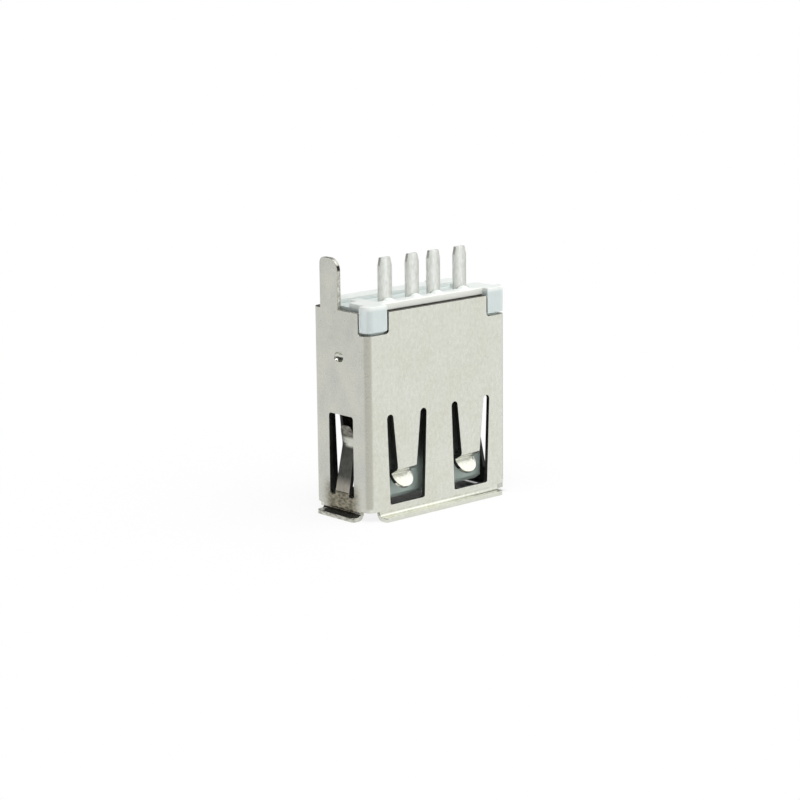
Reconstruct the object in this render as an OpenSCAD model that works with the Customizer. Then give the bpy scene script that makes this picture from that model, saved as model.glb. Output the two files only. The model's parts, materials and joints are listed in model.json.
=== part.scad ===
// Board socket that stands upright: a folded sheet shell round a moulded
// insulator, which carries four stamped contacts with solder pins.
// All sizes are in millimetres. The socket rests on its flared lips, with the
// mouth down and the pins up, and the origin is in the middle of that footprint.
// x runs along the long walls. The plain long wall faces -y and the wall with
// the seam faces +y.

/* [Shell] */
// Outer width of the folded box
shell_w = 13.1; // [12.6:0.1:14]
// Outer depth of the folded box
shell_d = 5.72; // [5.5:0.02:6.4]
// Height of the shell's rear edge above the underside of the lips
shell_top = 14.4; // [13.6:0.1:16]
// Thickness of the sheet
sheet = 0.3; // [0.25:0.01:0.35]
// Outer radius of the folded corners
corner_r = 0.6; // [0.5:0.05:0.8]

/* [Lips] */
// How far a lip stands out from the wall
lip_reach = 0.7; // [0.55:0.05:1]
// Inside radius of the bend above a lip
lip_bend_r = 0.2; // [0.1:0.05:0.3]
// Height of the mouth's edge at the corners, where no lip is folded
mouth_edge = 0.65; // [0.6:0.05:0.9]
// Distance from a long lip's end to the side of the shell
long_lip_inset = 0.95; // [0.8:0.05:2]
// Distance from a short lip's end to the face of the shell
short_lip_inset = 0.93; // [0.7:0.01:1.3]
// Radius of a lip's outer corners
lip_corner_r = 0.3; // [0.1:0.05:0.4]

/* [Seam] */
// Gap between the two edges of the sheet
seam_gap = 0.07; // [0.05:0.01:0.12]
// Reach of the dovetails that lock the seam
dovetail_reach = 1.1; // [0.7:0.1:1.3]
// Width of a dovetail at its neck
dovetail_neck = 1.1; // [0.8:0.1:1.4]
// Width of a dovetail at its end
dovetail_end = 1.4; // [1.1:0.1:1.7]
// Height of the lower dovetail
dovetail_low = 3.3; // [2.5:0.1:4.5]
// Height of the upper dovetail
dovetail_high = 10.3; // [9.5:0.1:11.5]

/* [Spring fingers of the long walls] */
// Distance between the two fingers of a wall
finger_pitch = 6.04; // [5.6:0.02:6.4]
// Height of the slots' round ends, where the fingers are rooted
finger_root = 7.3; // [6.5:0.1:8]
// Width of a finger at its root
finger_root_w = 2.5; // [2.2:0.05:2.7]
// Width of a finger from its bend to its tip
finger_tip_w = 1.76; // [1.5:0.02:2]
// Width of the slots at the root
finger_slot = 0.58; // [0.3:0.02:0.6]
// Width of the window at its lower edge
finger_window_w = 3.2; // [2.6:0.05:3.6]
// Height of the window's lower edge
finger_window_low = 0.97; // [0.9:0.01:1.4]
// Radius of the window's lower corners
finger_window_r = 0.15; // [0.05:0.05:0.3]
// Height of the bend towards the inside
finger_bend = 3.53; // [3.3:0.01:3.9]
// Height of the round tip
finger_tip = 1.95; // [1.8:0.01:2.2]
// How far the finger dips inwards
finger_dip = 0.66; // [0.45:0.01:0.7]
// Slope of the finger below its bend
finger_ramp = 60; // [45:1:62]
// Slope of the tip back outwards
finger_flare = 38; // [25:1:45]
// Middle radius of the finger's bends
finger_bend_r = 0.21; // [0.2:0.01:0.26]

/* [Spring fingers of the short walls] */
// Width of the window
side_window_w = 2.5; // [2:0.1:3]
// Height of the window's lower edge
side_window_low = 1.45; // [1.2:0.05:2]
// Height of the window's upper edge
side_window_high = 7.15; // [6.8:0.05:8]
// Radius of the window's corners
side_window_r = 0.2; // [0.1:0.05:0.3]
// Width of the finger at its root, which is the window's lower edge
side_finger_w = 1.42; // [1.3:0.02:1.7]
// Width of the finger at its tip
side_finger_tip_w = 1.24; // [1:0.02:1.3]
// Radius of the tip's corners
side_finger_tip_r = 0.45; // [0.2:0.05:0.45]
// Height of the finger's tip
side_finger_tip = 6.35; // [5.9:0.05:6.5]
// How far the finger dips inwards
side_finger_dip = 0.66; // [0.4:0.02:0.7]
// Slope of the finger inwards
side_finger_ramp = 11.5; // [11:0.5:16]
// Slope of the tip back outwards
side_finger_flare = 10; // [6:1:20]
// Middle radius of the finger's bends
side_finger_bend_r = 1.3; // [0.5:0.05:1.4]

/* [Dimples that hold the insulator] */
// Radius of a dimple's ends at the shell's face
dimple_r = 0.32; // [0.28:0.02:0.4]
// Length of a dimple's straight part, along the wall
dimple_l = 0.3; // [0.1:0.02:0.4]
// Depth of a dimple
dimple_h = 0.24; // [0.15:0.01:0.28]
// Height of the dimples' middle
dimple_z = 11.17; // [11:0.01:11.6]
// Distance of the dimples from the middle, towards the seam
dimple_y = 0.13; // [0:0.01:0.4]

/* [Notches for the insulator] */
// Width of a corner notch on the long wall
corner_notch_w = 1.95; // [1.6:0.05:2.2]
// Width of a corner notch on the short wall
corner_notch_d = 0.98; // [0.8:0.02:1.2]
// Depth of a corner notch below the rear edge
corner_notch_h = 1.5; // [1.2:0.05:2]
// Radius of the notches' lower corners
notch_r = 0.25; // [0.2:0.05:0.35]
// Width of a notch on the seam's wall
rear_notch_w = 1.45; // [1:0.05:1.8]
// Distance of that notch from the side of the shell
rear_notch_inset = 1.2; // [1:0.05:1.6]
// Depth of that notch below the rear edge
rear_notch_h = 1.5; // [1.2:0.05:1.8]

/* [Solder leg] */
// Width of the leg, which is one piece with the shell
leg_w = 1.83; // [1.6:0.01:2]
// Distance of the leg from the middle, towards the seam
leg_y = 1.065; // [0.8:0.02:1.2]
// Length of the leg above the rear edge
leg_l = 3.5; // [2.5:0.1:4]
// Radius of the leg's corner on the plain wall's side
leg_front_r = 0.85; // [0.5:0.05:0.95]
// Radius of the leg's corner on the seam's side
leg_back_r = 0.45; // [0.3:0.05:0.5]

/* [Insulator] */
// Height of the insulator above the shell's rear edge
insulator_rise = 0.5; // [0.45:0.05:0.9]
// Depth of the hollow round the pins
hollow_h = 0.3; // [0.2:0.05:0.4]
// Height of the insulator's body, where the mouth ends
body_low = 10.2; // [9.6:0.1:10.2]
// Groove between the shell's rear edge and the raised lands
edge_gap = 0.22; // [0.15:0.01:0.3]
// Depth of that groove
edge_gap_h = 0.4; // [0.2:0.05:0.6]
// Length of the end lands across the hollow's ends
land_w = 1.7; // [1.5:0.05:1.9]
// Front edge of the rear ledge, from the middle
ledge_y = 1.1; // [0.9:0.05:1.3]
// Channel between the end lands and the rear ledge
land_gap = 0.5; // [0.3:0.05:0.7]
// Width of the pocket beside each end land, where a leg stands clear
leg_pocket_w = 0.85; // [0.6:0.05:0.9]
// Edge of that pocket, from the middle towards the plain wall
leg_pocket_y = 0.3; // [0.1:0.05:0.6]
// Radius of the round corners of the lands
land_r = 0.3; // [0.15:0.05:0.35]

/* [Tongue] */
// Width of the tongue
tongue_w = 10.2; // [9.8:0.05:10.4]
// Width across the ribs on the tongue's sides
tongue_rib_w = 11; // [10.6:0.05:11]
// Thickness of those ribs
tongue_rib_t = 0.55; // [0.4:0.05:0.8]
// Thickness of the tongue
tongue_t = 1.74; // [1.6:0.02:1.76]
// Contact face of the tongue, from the middle towards the plain wall
tongue_face = 0.06; // [0.02:0.01:0.1]
// Height of the tongue's tip
tongue_tip = 1; // [0.8:0.05:1.3]
// Chamfer round the tongue's tip
tongue_chamfer = 0.35; // [0.2:0.05:0.5]
// Radius of the tongue's long edges
tongue_r = 0.3; // [0.1:0.05:0.4]

/* [Contacts] */
// Distance between the two inner contacts
inner_pitch = 2; // [1.9:0.05:2.2]
// Distance from an outer contact to its neighbour
outer_pitch = 2.5; // [2.2:0.05:2.6]
// Width of a contact on the tongue
contact_w = 1; // [0.8:0.05:1.05]
// Thickness of the strip
contact_t = 0.25; // [0.2:0.01:0.28]
// Height of the contact's free end
contact_tip = 1.75; // [1.7:0.05:2.2]
// Straight stretch between the free end and the spring arch
contact_lead = 0.2; // [0.1:0.05:0.4]
// Rise of the spring arch above the tongue
arch_h = 0.75; // [0.5:0.05:0.9]
// Slope of the arch's two sides
arch_slope = 45; // [35:1:55]
// Middle radius of the arch's bends
arch_r = 0.42; // [0.3:0.02:0.5]
// Slope of the step from the tongue to the pins, inside the insulator
step_slope = 50; // [40:1:60]
// Middle radius of that step's bends
step_r = 0.3; // [0.2:0.02:0.4]
// Height at which the step starts
step_low = 11.2; // [11:0.05:11.6]
// Walls between the bays behind the contacts
bay_wall = 0.3; // [0.2:0.05:0.5]

/* [Solder pins] */
// Distance of the pins from the middle, towards the plain wall
pin_y = 1.27; // [1.2:0.01:1.35]
// Height of the pins' tips
pin_top = 17.85; // [17:0.05:18.4]
// Width of a pin
pin_w = 1.13; // [1.1:0.01:1.3]
// Width of the pin's tip
pin_tip_w = 0.85; // [0.6:0.05:1]
// Length of the taper at the tip
pin_taper = 0.6; // [0.3:0.05:0.8]
// Height of the round bosses in front of the pins, above the front rib
boss_h = 0.2; // [0.1:0.02:0.25]
// Radius of the round bosses at the rib
boss_r = 0.42; // [0.3:0.02:0.46]

/* [Fits] */
// Gap between the insulator and the shell
shell_fit = 0.04; // [0.02:0.01:0.06]
// Gap round the insulator where it fills a notch
notch_fit = 0.12; // [0.05:0.01:0.15]
// Gap under the corner posts
post_fit = 0.2; // [0.1:0.01:0.3]
// Gap between a contact and the insulator
contact_fit = 0.03; // [0.02:0.01:0.05]

/* [Hidden] */
$fn = 48;
nickel = "#c9c8c0";
aqua_plastic = "#dfecec";
gold_plate = "#b8a05c";

// Turn of each wall about the vertical, starting from the plain wall
front = 0;
back = 180;
left = -90;
right = 90;

inner_w = shell_w - 2 * sheet;
inner_d = shell_d - 2 * sheet;
insulator_top = shell_top + insulator_rise;
hollow_floor = insulator_top - hollow_h;
contact_x = [
    -inner_pitch / 2 - outer_pitch,
    -inner_pitch / 2,
    inner_pitch / 2,
    inner_pitch / 2 + outer_pitch
];
// Turn of a bend between two neighbouring points of its outline
bend_step = 7.5;
// Radius of a dimple's hollow, and how far its axis stands out from the wall
dimple_ball_r = (pow(dimple_r, 2) + pow(dimple_h, 2)) / (2 * dimple_h);
dimple_centre = dimple_ball_r - dimple_h;
rib_back = -pin_y - contact_t / 2 - contact_fit;

// Length of the straight between two equal and opposite bends that carry a strip sideways
function step_straight(shift, slope, r) = (shift - 2 * r * (1 - cos(slope))) / sin(slope);
// Distance that such a step takes along the strip
function step_run(shift, slope, r) = 2 * r * sin(slope) + step_straight(shift, slope, r) * cos(slope);
// Length of the straight after a bend into a slope, where bend and straight go a given run along the wall
function tip_straight(run, slope, r) = (run - r * sin(slope)) / cos(slope);

// Flat shapes

module rounded_rect(w, d, r) {
    for (sx = [-1, 1], sy = [-1, 1])
        translate([sx * (w / 2 - r), sy * (d / 2 - r)]) circle(r);
    square([w - 2 * r, d], center = true);
    square([w, d - 2 * r], center = true);
}

// A straight bar of width w from the x axis up to h, with both upper corners round
module round_ended_bar(w, h, r) {
    translate([-w / 2, 0]) square([w, h - r]);
    if (w > 2 * r)
        translate([-w / 2 + r, 0]) square([w - 2 * r, h]);
    for (side = [-1, 1])
        translate([side * (w / 2 - r), h - r]) circle(r);
}

// A bar that narrows from width w at the x axis to tip_w at h, with both upper corners round
module tapered_bar(w, tip_w, h, r) {
    polygon([[-w / 2, 0], [w / 2, 0], [tip_w / 2, h - r], [-tip_w / 2, h - r]]);
    translate([0, h - 2 * r]) round_ended_bar(tip_w, 2 * r, r);
}

// Direction to the left of a heading
function left_of(heading) = [-sin(heading), cos(heading)];

// Points along one side of a strip that is seen edge-on. The strip starts at the
// origin and heads along x. Each stretch is a straight, the turn after it (left is
// positive) and the middle radius of that turn.
function strip_side(stretches, offset, i = 0, at = [0, 0], heading = 0) =
    i == len(stretches) ? [at + offset * left_of(heading)] :
    let (
        straight = stretches[i][0],
        turn = stretches[i][1],
        r = stretches[i][2],
        side = sign(turn),
        corner = at + straight * [cos(heading), sin(heading)],
        centre = corner + side * r * left_of(heading),
        steps = ceil(abs(turn) / bend_step)
    )
    concat(
        i == 0 && straight > 0 ? [at + offset * left_of(heading)] : [],
        turn == 0 ? [] : [
            for (k = [0:steps])
                centre - side * (r - side * offset) * left_of(heading + turn * k / steps)
        ],
        strip_side(stretches, offset, i + 1, centre - side * r * left_of(heading + turn), heading + turn)
    );

// A folded strip seen edge-on
module folded_strip(stretches, thick) {
    left_side = strip_side(stretches, thick / 2);
    right_side = strip_side(stretches, -thick / 2);
    last = len(right_side) - 1;
    polygon(concat(left_side, [for (k = [last:-1:0]) right_side[k]]));
}

// Places on the walls

// A wall's own frame: x along the wall, y up, z outwards, with z = 0 on the outer face
module on_wall(wall) {
    half = (wall == left || wall == right) ? shell_w / 2 : shell_d / 2;
    rotate([0, 0, wall]) translate([0, -half, 0]) rotate([90, 0, 0]) children();
}

// Cut a drawing of a wall through the sheet
module through_sheet() {
    translate([0, 0, -1.5 * sheet]) linear_extrude(2 * sheet) children();
}

// Carry a strip that is drawn edge-on, with its x up the wall and its y outwards, along the wall
module across_wall(w) {
    rotate([90, 0, 90]) linear_extrude(w, center = true) children();
}

// Shell

module lip(w) {
    middle_r = lip_bend_r + sheet / 2;
    bend_top = middle_r + sheet / 2;
    intersection() {
        across_wall(w) translate([mouth_edge, -sheet / 2]) rotate(180) folded_strip([
            [mouth_edge - bend_top, -90, middle_r],
            [lip_reach - lip_bend_r, 0, 0]
        ], sheet);
        rotate([90, 0, 0]) linear_extrude(2 * mouth_edge, center = true)
            translate([0, -sheet]) round_ended_bar(w, lip_reach + sheet, lip_corner_r);
    }
}

// The opening round a long wall's finger: two slots with round ends, and a clear window below the bend
module finger_opening() {
    slot_top = finger_root - finger_slot / 2;
    root_in = finger_root_w / 2;
    root_out = root_in + finger_slot;
    low_out = finger_window_w / 2;
    low_top = finger_window_low + finger_window_r;
    tip_in = finger_tip_w / 2;
    polygon([
        [-root_out, slot_top], [-root_in, slot_top], [-tip_in, finger_bend], [tip_in, finger_bend],
        [root_in, slot_top], [root_out, slot_top], [low_out, low_top], [-low_out, low_top]
    ]);
    translate([0, low_top + finger_window_r]) mirror([0, 1])
        round_ended_bar(finger_window_w, 2 * finger_window_r, finger_window_r);
    for (side = [-1, 1])
        translate([side * (root_in + finger_slot / 2), slot_top]) intersection() {
            circle(finger_slot / 2);
            translate([-finger_slot / 2, 0]) square([finger_slot, finger_slot]);
        }
}

// The end of a long wall's finger: dipped inwards, then flared back out to a half-round tip
module finger_end() {
    ramp = step_straight(finger_dip, finger_ramp, finger_bend_r);
    valley = finger_bend - step_run(finger_dip, finger_ramp, finger_bend_r);
    plate_l = tip_straight(valley - finger_tip, finger_flare, finger_bend_r);
    folds = [
        [0, finger_ramp, finger_bend_r],
        [ramp, -finger_ramp - finger_flare, finger_bend_r]
    ];
    middle = strip_side(concat(folds, [[plate_l, 0, 0]]), 0);
    tip = middle[len(middle) - 1];
    intersection() {
        across_wall(2 * finger_tip_w) translate([finger_bend, -sheet / 2]) rotate(180)
            folded_strip(concat(folds, [[plate_l + sheet, 0, 0]]), sheet);
        translate([0, finger_bend - tip.x, -sheet / 2 - tip.y]) rotate([-finger_flare, 0, 0])
            linear_extrude(2 * finger_bend, center = true) translate([0, finger_bend]) mirror([0, 1])
            round_ended_bar(finger_tip_w, finger_bend, finger_tip_w / 2);
    }
}

// A short wall's finger, rooted at the mouth's end of its window
module side_finger() {
    ramp = step_straight(side_finger_dip, side_finger_ramp, side_finger_bend_r);
    crest = side_window_low + step_run(side_finger_dip, side_finger_ramp, side_finger_bend_r);
    plate_l = tip_straight(side_finger_tip - crest, side_finger_flare, side_finger_bend_r);
    intersection() {
        across_wall(2 * side_finger_w) translate([side_window_low, -sheet / 2]) folded_strip([
            [0, -side_finger_ramp, side_finger_bend_r],
            [ramp, side_finger_ramp + side_finger_flare, side_finger_bend_r],
            [plate_l + sheet, 0, 0]
        ], sheet);
        translate([0, side_window_low, -side_finger_dip - 2 * sheet])
            linear_extrude(side_finger_dip + 3 * sheet) tapered_bar(
                side_finger_w, side_finger_tip_w, side_finger_tip - side_window_low, side_finger_tip_r
            );
    }
}

// Middle of a short wall's dimple
module at_dimple(wall) {
    on_wall(wall) translate([sign(wall) * dimple_y, dimple_z, 0]) children();
}

// A round bar along x, with a half ball on each end of its straight part
module pill(r, straight) {
    rotate([0, 90, 0]) rotate_extrude() intersection() {
        union() {
            translate([0, -straight / 2]) square([r, straight]);
            for (end = [-1, 1]) translate([0, end * straight / 2]) circle(r);
        }
        translate([0, -straight / 2 - r]) square([r, straight + 2 * r]);
    }
}

// Sheet that a dimple pushes in behind the wall
module dimple_bump() {
    bump_r = dimple_ball_r + sheet;
    bump_l = dimple_l + 2 * bump_r;
    intersection() {
        translate([0, 0, dimple_centre]) pill(bump_r, dimple_l);
        translate([-bump_l / 2, -bump_r, -2 * bump_r - sheet / 2]) cube([bump_l, 2 * bump_r, 2 * bump_r]);
    }
}

// Line of the seam on its wall, with two dovetails from one edge of the sheet into the other
module seam_line() {
    heights = [dovetail_low, dovetail_high];
    half_neck = dovetail_neck / 2;
    half_end = dovetail_end / 2;
    difference() {
        union() {
            translate([0, -sheet]) square([seam_gap, shell_top + 2 * sheet]);
            for (h = heights)
                translate([0, h]) polygon([
                    [0, -half_neck - seam_gap], [dovetail_reach + seam_gap, -half_end - seam_gap],
                    [dovetail_reach + seam_gap, half_end + seam_gap], [0, half_neck + seam_gap]
                ]);
        }
        for (h = heights)
            translate([0, h]) polygon([
                [0, -half_neck], [dovetail_reach, -half_end], [dovetail_reach, half_end], [0, half_neck]
            ]);
    }
}

// Blocks on the two corners of the plain wall, from the insulator's top down, with round lower edges
module corner_blocks(w, d, low, r) {
    h = insulator_top - low;
    for (side = [-1, 1])
        translate([side * shell_w / 2, -shell_d / 2, insulator_top]) intersection() {
            rotate([-90, 0, 0]) linear_extrude(4 * d, center = true) round_ended_bar(2 * w, h, r);
            rotate([-90, 0, 90]) linear_extrude(4 * w, center = true) round_ended_bar(2 * d, h, r);
        }
}

module corner_notches() {
    corner_blocks(corner_notch_w, corner_notch_d, shell_top - corner_notch_h, notch_r);
}

module rear_notches() {
    x = shell_w / 2 - rear_notch_inset - rear_notch_w / 2;
    for (side = [-1, 1])
        on_wall(back) through_sheet()
            translate([side * x, shell_top]) square([rear_notch_w, 2 * rear_notch_h], center = true);
}

// Outline of the solder leg above the shell's edge, with the plain wall to the right
module leg_outline() {
    translate([-leg_w / 2, 0]) square([leg_w, leg_l - leg_front_r]);
    translate([-leg_w / 2, 0]) square([leg_w - leg_front_r, leg_l - leg_back_r]);
    translate([-leg_w / 2 + leg_back_r, 0]) square([leg_w - leg_front_r - leg_back_r, leg_l]);
    translate([leg_w / 2 - leg_front_r, leg_l - leg_front_r]) circle(leg_front_r);
    translate([-leg_w / 2 + leg_back_r, leg_l - leg_back_r]) circle(leg_back_r);
}

module folded_box() {
    difference() {
        translate([0, 0, mouth_edge]) linear_extrude(shell_top - mouth_edge) difference() {
            rounded_rect(shell_w, shell_d, corner_r);
            rounded_rect(inner_w, inner_d, corner_r - sheet);
        }
        for (wall = [front, back], side = [-1, 1])
            on_wall(wall) through_sheet() translate([side * finger_pitch / 2, 0]) finger_opening();
        for (wall = [left, right])
            on_wall(wall) through_sheet() translate([0, (side_window_low + side_window_high) / 2])
                rounded_rect(side_window_w, side_window_high - side_window_low, side_window_r);
        corner_notches();
        rear_notches();
    }
}

module shell() {
    color(nickel) difference() {
        union() {
            folded_box();
            for (wall = [front, back]) on_wall(wall) {
                lip(shell_w - 2 * long_lip_inset);
                for (side = [-1, 1]) translate([side * finger_pitch / 2, 0, 0]) finger_end();
            }
            for (wall = [left, right]) {
                on_wall(wall) lip(shell_d - 2 * short_lip_inset);
                on_wall(wall) side_finger();
                at_dimple(wall) dimple_bump();
            }
            on_wall(left) translate([-leg_y, shell_top, -sheet]) linear_extrude(sheet) leg_outline();
        }
        on_wall(back) translate([0, 0, -2 * sheet])
            linear_extrude(lip_reach + 3 * sheet) seam_line();
        for (wall = [left, right])
            at_dimple(wall) translate([0, 0, dimple_centre]) pill(dimple_ball_r, dimple_l);
    }
}

// Insulator

// Posts that fill the corner notches flush with the shell's faces
module corner_posts() {
    low = shell_top - corner_notch_h + post_fit;
    intersection() {
        linear_extrude(insulator_top) rounded_rect(shell_w, shell_d, corner_r);
        corner_blocks(corner_notch_w - notch_fit, corner_notch_d - notch_fit, low, notch_r - notch_fit);
    }
}

module end_land_outline() {
    land_x = inner_w / 2 - edge_gap;
    front_y = -inner_d / 2 + edge_gap;
    back_y = ledge_y - land_gap;
    translate([land_x - land_w, front_y]) square([land_w, -leg_pocket_y - land_r - front_y]);
    translate([land_x - land_w, front_y]) square([land_w - land_r, -leg_pocket_y - front_y]);
    translate([land_x - land_r, -leg_pocket_y - land_r]) circle(land_r);
    translate([land_x - land_w, front_y]) square([land_w - leg_pocket_w - land_r, back_y - front_y]);
    translate([land_x - land_w, front_y]) square([land_w - leg_pocket_w, back_y - land_r - front_y]);
    translate([land_x - leg_pocket_w - land_r, back_y - land_r]) circle(land_r);
}

module raised_lands_outline() {
    ledge_w = inner_w - 2 * edge_gap;
    ledge_back = inner_d / 2 - shell_fit;
    ledge_d = ledge_back - ledge_y;
    rib_front = -inner_d / 2 + edge_gap;
    translate([0, ledge_y + ledge_d / 2]) rounded_rect(ledge_w, ledge_d, land_r);
    for (side = [0, 1]) mirror([side, 0]) end_land_outline();
    translate([-ledge_w / 2 + land_r, rib_front]) square([ledge_w - 2 * land_r, rib_back - rib_front]);
}

// Round bosses on the front rib, one in front of each pin
module pin_bosses() {
    boss_sphere_r = (pow(boss_r, 2) + pow(boss_h, 2)) / (2 * boss_h);
    rib_front = -inner_d / 2 + edge_gap;
    intersection() {
        for (x = contact_x)
            translate([x, rib_back - boss_r / 2, insulator_top + boss_h - boss_sphere_r])
                sphere(boss_sphere_r);
        translate([-shell_w / 2, rib_front, insulator_top - boss_h / 2])
            cube([shell_w, rib_back - rib_front, 2 * boss_h]);
    }
}

module rear_lugs() {
    x = shell_w / 2 - rear_notch_inset - rear_notch_w / 2;
    low = shell_top - rear_notch_h + notch_fit;
    lug_d = 2 * sheet;
    for (side = [-1, 1])
        translate([side * x, shell_d / 2 - lug_d / 2, (low + insulator_top) / 2])
            cube([rear_notch_w - 2 * notch_fit, lug_d, insulator_top - low], center = true);
}

// The tongue: chamfered round its tip, round along its edges and ribbed along its sides
module tongue() {
    top = body_low + contact_t;
    middle_y = -tongue_face - tongue_t / 2;
    rib_low = tongue_tip + tongue_chamfer;
    intersection() {
        linear_extrude(top) translate([0, middle_y]) rounded_rect(tongue_w, tongue_t, tongue_r);
        rotate([90, 0, 90]) linear_extrude(2 * tongue_w, center = true) polygon([
            [middle_y + tongue_t, 2 * top], [middle_y + tongue_t, rib_low + tongue_t / 2],
            [middle_y + tongue_t / 2 - tongue_chamfer, tongue_tip],
            [middle_y - tongue_t / 2 + tongue_chamfer, tongue_tip],
            [middle_y - tongue_t, rib_low + tongue_t / 2], [middle_y - tongue_t, 2 * top]
        ]);
        rotate([90, 0, 0]) linear_extrude(2 * shell_d, center = true) polygon([
            [-tongue_w, 2 * top], [-tongue_w, rib_low + tongue_w / 2],
            [-tongue_w / 2 + tongue_chamfer, tongue_tip], [tongue_w / 2 - tongue_chamfer, tongue_tip],
            [tongue_w, rib_low + tongue_w / 2], [tongue_w, 2 * top]
        ]);
    }
    translate([-tongue_rib_w / 2, middle_y - tongue_rib_t / 2, rib_low])
        cube([tongue_rib_w, tongue_rib_t, top - rib_low]);
}

// Bays in the body's face above the tongue, one behind each contact's spring
module contact_bays() {
    bay_w = inner_pitch - bay_wall;
    bay_d = inner_d / 2 - ledge_y + tongue_face;
    for (x = contact_x)
        translate([x - bay_w / 2, -tongue_face, body_low - bay_d / 2]) cube([bay_w, bay_d, bay_d]);
}

// Room for the dimples in the sides of the body
module dimple_pockets() {
    bump_r = dimple_ball_r + sheet;
    pocket_r = sqrt(pow(bump_r, 2) - pow(dimple_centre + sheet, 2)) + notch_fit;
    for (wall = [left, right])
        at_dimple(wall) translate([0, 0, -sheet - dimple_h - notch_fit])
            linear_extrude(dimple_h + notch_fit + sheet) {
                square([dimple_l, 2 * pocket_r], center = true);
                for (end = [-1, 1]) translate([end * dimple_l / 2, 0]) circle(pocket_r);
            }
}

module insulator() {
    color(aqua_plastic) difference() {
        union() {
            translate([0, 0, body_low]) linear_extrude(shell_top - edge_gap_h - body_low)
                rounded_rect(inner_w - 2 * shell_fit, inner_d - 2 * shell_fit, corner_r - sheet);
            translate([0, 0, shell_top - edge_gap_h])
                linear_extrude(hollow_floor - shell_top + edge_gap_h)
                rounded_rect(inner_w - 2 * edge_gap, inner_d - 2 * edge_gap, corner_r - sheet);
            translate([0, 0, shell_top - edge_gap_h])
                linear_extrude(insulator_top - shell_top + edge_gap_h) raised_lands_outline();
            corner_posts();
            rear_lugs();
            pin_bosses();
            tongue();
        }
        contact_bays();
        dimple_pockets();
        for (x = contact_x) contact_channel(x);
    }
}

// Contacts

// The contact edge-on, with its x upwards and its y towards the seam's wall
module contact_strip(thick) {
    flat_y = -tongue_face - contact_t / 2;
    arch_straight = step_straight(arch_h, arch_slope, arch_r);
    arch_run = 2 * step_run(arch_h, arch_slope, arch_r);
    shift = flat_y + pin_y;
    translate([contact_tip, flat_y]) folded_strip([
        [contact_lead, arch_slope, arch_r],
        [arch_straight, -2 * arch_slope, arch_r],
        [arch_straight, arch_slope, arch_r],
        [step_low - contact_tip - contact_lead - arch_run, -step_slope, step_r],
        [step_straight(shift, step_slope, step_r), step_slope, step_r],
        [pin_top - step_top(), 0, 0]
    ], thick);
}

// Height at which the step inside the insulator ends
function step_top() =
    step_low + step_run(pin_y - tongue_face - contact_t / 2, step_slope, step_r);

// Outline of a flat contact, seen from the seam's wall: a narrow spring and a wider pin with a tapered tip
module contact_plan(margin) {
    half_spring = contact_w / 2 + margin;
    half_pin = pin_w / 2 + margin;
    half_tip = pin_tip_w / 2 + margin;
    shoulder = step_top() - margin;
    polygon([
        [-half_spring, 0], [half_spring, 0], [half_spring, shoulder], [half_pin, shoulder],
        [half_pin, pin_top - pin_taper], [half_tip, pin_top], [-half_tip, pin_top],
        [-half_pin, pin_top - pin_taper], [-half_pin, shoulder], [-half_spring, shoulder]
    ]);
}

// A contact in its place along y and z, or the room it takes up with a margin all round
module contact_shape(thick, margin) {
    intersection() {
        rotate([0, -90, 0]) linear_extrude(2 * pin_w, center = true) contact_strip(thick);
        rotate([90, 0, 0]) linear_extrude(shell_d, center = true) contact_plan(margin);
    }
}

module contact(x) {
    color(gold_plate) translate([x, 0, 0]) contact_shape(contact_t, 0);
}

// Room for one contact: its groove on the tongue, its step and the slot of its pin
module contact_channel(x) {
    channel_w = contact_w + 2 * contact_fit;
    groove_low = contact_tip - contact_fit;
    translate([x, 0, 0]) {
        contact_shape(contact_t + 2 * contact_fit, contact_fit);
        translate([-channel_w / 2, -tongue_face - contact_t - contact_fit, groove_low])
            cube([channel_w, contact_t + 2 * contact_fit, body_low - groove_low]);
    }
}

module contact_1() { contact(contact_x[0]); }
module contact_2() { contact(contact_x[1]); }
module contact_3() { contact(contact_x[2]); }
module contact_4() { contact(contact_x[3]); }

shell();
insulator();
contact_1();
contact_2();
contact_3();
contact_4();
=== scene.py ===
# %% [markdown]
# An upright USB socket
#
# The socket stands on the flared lips of its mouth, with its solder pins up. It is six pieces: a
# folded sheet shell, a pale moulded insulator and four stamped contacts. The solids already have
# the right shapes, so this lesson is about what solids lack: soft edges, plating, moulded plastic
# and light.

# %% Load the solids
import json
import math

import bpy
from mathutils import Matrix, Vector


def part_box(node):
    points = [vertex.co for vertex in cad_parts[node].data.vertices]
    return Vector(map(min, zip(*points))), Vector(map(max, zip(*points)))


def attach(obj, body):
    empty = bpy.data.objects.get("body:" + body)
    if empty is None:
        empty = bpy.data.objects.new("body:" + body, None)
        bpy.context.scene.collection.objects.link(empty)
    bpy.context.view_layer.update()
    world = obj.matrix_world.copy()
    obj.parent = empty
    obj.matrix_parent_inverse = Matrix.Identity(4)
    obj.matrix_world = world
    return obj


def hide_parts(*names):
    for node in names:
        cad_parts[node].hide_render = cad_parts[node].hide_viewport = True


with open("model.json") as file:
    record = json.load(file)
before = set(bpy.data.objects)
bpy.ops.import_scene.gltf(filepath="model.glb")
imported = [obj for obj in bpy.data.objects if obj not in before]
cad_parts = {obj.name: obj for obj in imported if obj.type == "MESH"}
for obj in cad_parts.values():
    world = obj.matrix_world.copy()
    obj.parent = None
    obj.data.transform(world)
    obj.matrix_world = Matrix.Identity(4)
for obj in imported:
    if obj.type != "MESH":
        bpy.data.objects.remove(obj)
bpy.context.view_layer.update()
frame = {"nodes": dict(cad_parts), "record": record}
MM = 0.001
print("solids:", sorted(frame["nodes"]))

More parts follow.
